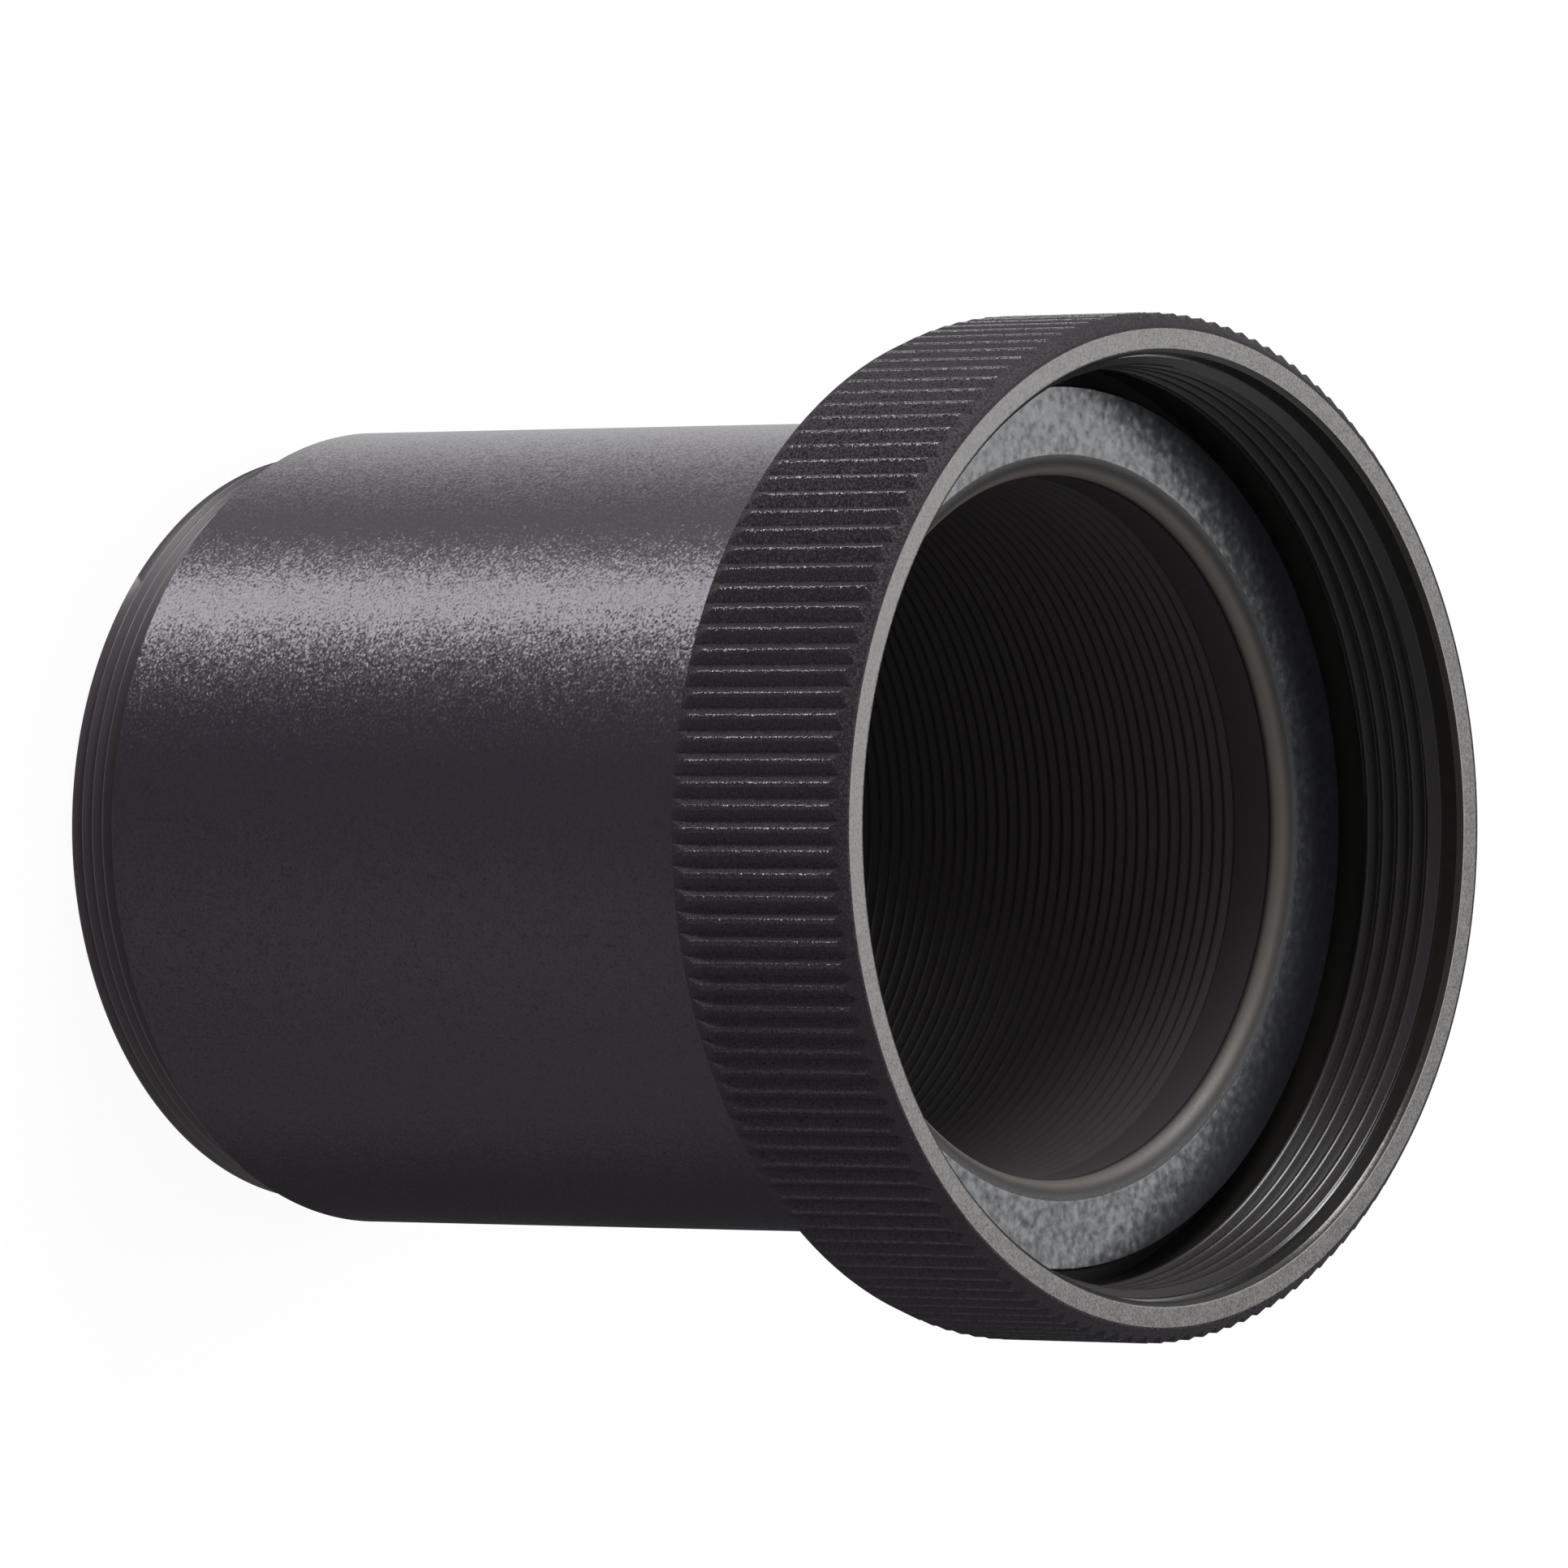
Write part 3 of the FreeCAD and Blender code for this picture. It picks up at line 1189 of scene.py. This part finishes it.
    def behind_thread(self) -> list[Point]:
        """Down the relief, over the lip and its wire groove, to the rear face.

        Returns:
            The outline's points.
        """
        wire = self.mounts.wire_height
        return eased(
            [
                (self.lead_in_radius, self.thread_low),
                (self.lead_in_radius, self.lip_front),
                (self.lip_radius, self.lip_front),
                (self.lip_radius, wire + self.wire_groove_half),
                (self.wire_groove_radius, wire + self.wire_groove_half),
                (self.wire_groove_radius, wire - self.wire_groove_half),
                (self.lip_radius, wire - self.wire_groove_half),
                (self.lip_radius, self.rear + self.lip_chamfer),
                (self.lip_radius + self.lip_chamfer, self.rear),
                (self.lip_radius + self.lip_chamfer + self.flat_rim, self.rear),
            ],
            self.edge_break,
        )

    def build(self) -> bpy.types.Object:
        """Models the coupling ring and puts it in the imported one's place.

        Returns:
            The finished piece.
        """
        form = Thread(
            self.mounts.telescope_crest,
            self.thread_root,
            self.crest_flat,
            self.pitch,
            self.crest_height,
        )
        thread = Lathe.threaded(
            "telescope_thread", form, self.thread_low, self.thread_high, Finish.THREAD
        )
        start = self.thread_root - self.thread_start_rim - self.thread_high
        Lathe.chamfered(thread, start, inside=True)
        skins = [
            self.knurl(),
            Lathe.turned("lead_in", self.lead_in(), Finish.RING),
            thread,
            Lathe.turned("behind_thread", self.behind_thread(), Finish.RING),
        ]
        faces = {
            self.front: Finish.RING,
            self.thread_high: Finish.THREAD,
            self.thread_low: Finish.THREAD,
            self.rear: Finish.RING,
        }
        piece = Lathe.closed("coupling_ring_knurled", skins, faces)
        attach(piece, "coupling")
        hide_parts("coupling_ring")
        return piece


@dataclass(frozen=True)
class Softbox:
    """A soft lamp that faces the adapter, in metres.

    Its radiance is how bright it looks, where 1 is paper white.
    """

    name: str
    direction: tuple[float, float, float]
    width: float
    height: float
    radiance: float

    def hang(self, centre: Vector, distance: float) -> None:
        """Hangs the lamp, where the camera doesn't see it.

        Args:
            centre: The adapter's middle.
            distance: How far from it the lamp hangs.
        """
        data = bpy.data.lights.new(self.name, "AREA")
        data.shape = "RECTANGLE"
        data.size = self.width
        data.size_y = self.height
        data.energy = self.radiance * math.pi * self.width * self.height
        lamp = bpy.data.objects.new(self.name, data)
        bpy.context.scene.collection.objects.link(lamp)
        way = Vector(self.direction).normalized()
        lamp.location = centre + way * distance
        lamp.rotation_mode = "QUATERNION"
        lamp.rotation_quaternion = way.to_track_quat("Z", "Y")
        lamp.visible_camera = False


@dataclass
class Studio:
    """The photograph's view, a pale table and soft lamps.

    Image sizes are pixels of the 1932 by 1932 photograph, and the place of the ring's
    front centre in it sets where the camera stands. The camera's focal length, distance
    and angle come from a fit of 30 edges in the photograph.

    The levels in surroundings are by degrees round the adapter from -Y towards -X. They
    come from how bright the photographed tube is at each angle, since metal shows what
    it mirrors. A fade's two numbers are the heights in a direction where it starts and
    ends.
    """

    front: float
    picture: float = 1932.0
    focal_pixels: float = 18861.0
    distance_mm: float = 823.3
    axis_angle: float = 49.744
    roll: float = -0.10
    ring_x: float = 1442.0
    ring_y: float = 1020.0
    sensor_mm: float = 36.0
    clip: tuple[float, float] = (0.01, 20.0)
    lamp_distance: float = 0.9
    table_size: float = 6.0
    table_glow: float = 0.94
    floor: float = 0.10
    floor_fade: tuple[float, float] = (-0.70, -0.78)
    walls: float = 0.42
    walls_fade: tuple[float, float] = (-0.40, -0.15)
    ceiling: float = 0.12
    ceiling_fade: tuple[float, float] = (0.35, 0.50)
    ambient: float = 0.9
    surroundings: tuple[tuple[float, float], ...] = (
        (-180, 0.20), (-160, 0.04), (-112, 0.05), (-96, 0.20), (-80, 0.28), (-64, 0.31),
        (-48, 0.38), (-32, 0.46), (-16, 0.41), (0, 0.28), (32, 0.20), (48, 0.26),
        (64, 0.33), (80, 0.38), (96, 0.45), (112, 0.68), (128, 1.05), (144, 1.25),
        (160, 1.10), (180, 0.70),
    )
    lamps: tuple[Softbox, ...] = (
        Softbox("back_softbox", (-0.122, 0.621, 0.784), 0.40, 0.40, 6.4),
        Softbox("side_softbox", (-0.705, -0.292, -0.646), 0.18, 0.60, 8.6),
        Softbox("key_softbox", (-0.93, 0.0, 0.33), 0.40, 0.40, 14.0),
    )

    def camera(self) -> None:
        """Places the camera where the photograph was taken from."""
        angle, roll = math.radians(self.axis_angle), math.radians(self.roll)
        sine, cosine = math.sin(angle), math.cos(angle)
        right = Vector((0, cosine, sine))
        down = Vector((1, 0, 0))
        forward = Vector((0, sine, -cosine))
        right, down = (
            right * math.cos(roll) - down * math.sin(roll),
            right * math.sin(roll) + down * math.cos(roll),
        )
        middle = self.picture / 2
        across = (self.ring_x - middle) / self.focal_pixels * self.distance_mm
        below = (self.ring_y - middle) / self.focal_pixels * self.distance_mm
        target = Vector((0, 0, self.front))
        place = target - forward * self.distance_mm - right * across - down * below
        data = bpy.data.cameras.new("camera")
        data.sensor_width = self.sensor_mm
        data.lens = self.sensor_mm * self.focal_pixels / self.picture
        data.clip_start, data.clip_end = self.clip
        camera = bpy.data.objects.new("camera", data)
        bpy.context.scene.collection.objects.link(camera)
        turn = Matrix((right, -down, -forward)).transposed().to_4x4()
        camera.matrix_world = Matrix.Translation(place * MM) @ turn
        bpy.context.scene.camera = camera

    def world(self) -> None:
        """White for the camera, and a soft gradient for what the metal mirrors."""
        world = bpy.data.worlds.new("studio")
        bpy.context.scene.world = world
        world.use_nodes = True
        tree = world.node_tree
        tree.nodes.clear()
        place = add(tree, "ShaderNodeTexCoord")
        axes = add(tree, "ShaderNodeSeparateXYZ", {0: place.outputs["Generated"]})
        level = self.level_around(tree, axes)
        layers = [
            (ranged(tree, axes.outputs["Z"], *fade, kind="SMOOTHSTEP"), strength)
            for fade, strength in (
                (self.floor_fade, self.floor),
                (self.walls_fade, self.walls),
                (self.ceiling_fade, self.ceiling),
            )
        ]
        rays = add(tree, "ShaderNodeLightPath")
        layers.append((rays.outputs["Is Diffuse Ray"], self.ambient))
        layers.append((rays.outputs["Is Camera Ray"], 1.0))
        for share, strength in layers:
            level = add(
                tree, "ShaderNodeMix", {0: share, 2: level, 3: strength}, data_type="FLOAT"
            ).outputs[0]
        background = add(
            tree, "ShaderNodeBackground", {"Color": (1, 1, 1, 1), "Strength": level}
        )
        add(tree, "ShaderNodeOutputWorld", {"Surface": background.outputs["Background"]})

    def level_around(
        self, tree: bpy.types.NodeTree, axes: bpy.types.Node
    ) -> bpy.types.NodeSocket:
        """How bright the room is in each direction round the adapter.

        Args:
            tree: The world's node tree.
            axes: The node that gives a direction's X, Y and Z.

        Returns:
            The brightness, where 1 is paper white.
        """
        x, y = (sum_of(tree, "MULTIPLY", axes.outputs[axis], -1.0) for axis in ("X", "Y"))
        angle = sum_of(tree, "ARCTAN2", x, y)
        brightest = max(level for _, level in self.surroundings)
        ramp = add(tree, "ShaderNodeValToRGB", {"Fac": ranged(tree, angle, -math.pi, math.pi)})
        stops = ramp.color_ramp.elements
        for degrees, _ in self.surroundings[1:-1]:
            stops.new((degrees + 180) / 360)
        for stop, (_, level) in zip(stops, self.surroundings):
            grey = level / brightest
            stop.color = (grey, grey, grey, 1)
        return sum_of(tree, "MULTIPLY", ramp.outputs["Color"], brightest)

    def table(self) -> None:
        """A translucent white light table, which the lamp under it shines through.

        To the camera it is nearly all glow, so it looks white, and the rest of it shows
        the adapter's soft shadow.
        """
        bpy.ops.object.select_all(action="DESELECT")
        bpy.ops.mesh.primitive_plane_add(size=self.table_size, location=(0, 0, 0))
        floor = bpy.context.object
        floor.name = "light_table"
        material = empty_material("acrylic_opal_white")
        tree = material.node_tree
        rays = add(tree, "ShaderNodeLightPath")
        diffuse = add(tree, "ShaderNodeBsdfDiffuse", {"Color": linear("#f4f4f4")})
        glow = add(tree, "ShaderNodeEmission", {"Color": (1, 1, 1, 1), "Strength": 1.0})
        through = rays.outputs["Is Transmission Ray"]
        seen = sum_of(tree, "MAXIMUM", rays.outputs["Is Camera Ray"], through)
        share = sum_of(tree, "MULTIPLY", seen, self.table_glow)
        mixed = add(
            tree,
            "ShaderNodeMixShader",
            {0: share, 1: diffuse.outputs["BSDF"], 2: glow.outputs["Emission"]},
        )
        add(tree, "ShaderNodeOutputMaterial", {"Surface": mixed.outputs["Shader"]})
        floor.data.materials.append(material)
        floor.visible_glossy = False
        floor.visible_shadow = False

    def build(self) -> None:
        """Sets up the camera, the lamps, the world and the table."""
        bpy.context.scene.view_settings.view_transform = "Standard"
        self.camera()
        for lamp in self.lamps:
            lamp.hang(Vector((0, 0, self.front * MM / 2)), self.lamp_distance)
        self.world()
        self.table()


@dataclass
class RetainingRing:
    """The split ring of round wire that holds the coupling ring on the tube."""

    outer_radius: float
    rear: float
    front: float
    gap_degrees: float = 12.0
    sides: int = 24
    steps: int = 174
    end_break: float = 0.08

    def build(self) -> bpy.types.Object:
        """Bends the wire, breaks its ends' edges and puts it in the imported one's place.

        Returns:
            The finished piece.
        """
        wire_radius = (self.front - self.rear) / 2
        path_radius = self.outer_radius - wire_radius
        middle = (self.front + self.rear) / 2
        bpy.ops.object.select_all(action="DESELECT")
        bpy.ops.mesh.primitive_circle_add(vertices=self.sides, radius=wire_radius * MM)
        piece = bpy.context.object
        piece.name = "retaining_ring_bent"
        piece.data.materials.append(Finish.WIRE.material())
        bpy.ops.object.mode_set(mode="EDIT")
        bpy.ops.mesh.select_all(action="SELECT")
        bpy.ops.transform.rotate(value=math.pi / 2, orient_axis="X", center_override=(0, 0, 0))
        bpy.ops.transform.translate(value=(path_radius * MM, 0, middle * MM))
        bpy.ops.transform.rotate(
            value=math.radians(self.gap_degrees / 2), orient_axis="Z", center_override=(0, 0, 0)
        )
        bpy.ops.mesh.spin(
            steps=self.steps,
            angle=math.radians(360 - self.gap_degrees),
            center=(0, 0, 0),
            axis=(0, 0, 1),
        )
        bpy.ops.mesh.select_all(action="SELECT")
        bpy.ops.mesh.fill_holes(sides=self.sides)
        bpy.ops.mesh.select_all(action="DESELECT")
        bpy.ops.mesh.select_mode(type="FACE")
        bpy.ops.mesh.select_face_by_sides(number=4, type="GREATER")
        bpy.ops.mesh.bevel(offset=self.end_break * MM, segments=2, affect="EDGES")
        bpy.ops.mesh.select_all(action="SELECT")
        bpy.ops.mesh.normals_make_consistent(inside=False)
        bpy.ops.object.mode_set(mode="OBJECT")
        bpy.ops.object.shade_smooth_by_angle(angle=SMOOTH_BELOW)
        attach(piece, "snap_ring")
        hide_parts("retaining_ring")
        return piece


def report(piece: bpy.types.Object) -> None:
    """Says a piece's size in triangles and whether its mesh is closed.

    Args:
        piece: The finished piece.
    """
    mesh = bmesh.new()
    mesh.from_mesh(piece.data)
    open_edges = sum(1 for edge in mesh.edges if not edge.is_manifold)
    triangles = sum(len(face.verts) - 2 for face in mesh.faces)
    volume = mesh.calc_volume(signed=True) / MM**3
    mesh.free()
    LOG.info("%s: %d triangles, %d open edges, %.1f mm3", piece.name, triangles, open_edges, volume)


def main() -> None:
    """Builds the studio and the adapter's pieces in order."""
    logging.basicConfig(level=logging.INFO, format="%(message)s")
    mounts = Mounts.read()
    ring_low, ring_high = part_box("coupling_ring")
    _, barrel_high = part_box("barrel")
    Studio(front=ring_high.z / MM).build()
    report(Barrel(mounts, flange_radius=barrel_high.x / MM).build())
    ring = CouplingRing(
        mounts,
        outer_radius=ring_high.x / MM,
        rear=ring_low.z / MM,
        front=ring_high.z / MM,
    )
    report(ring.build())
    wire_low, wire_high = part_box("retaining_ring")
    wire = RetainingRing(
        outer_radius=-wire_low.x / MM, rear=wire_low.z / MM, front=wire_high.z / MM
    )
    report(wire.build())


if __name__ == "__main__":
    main()
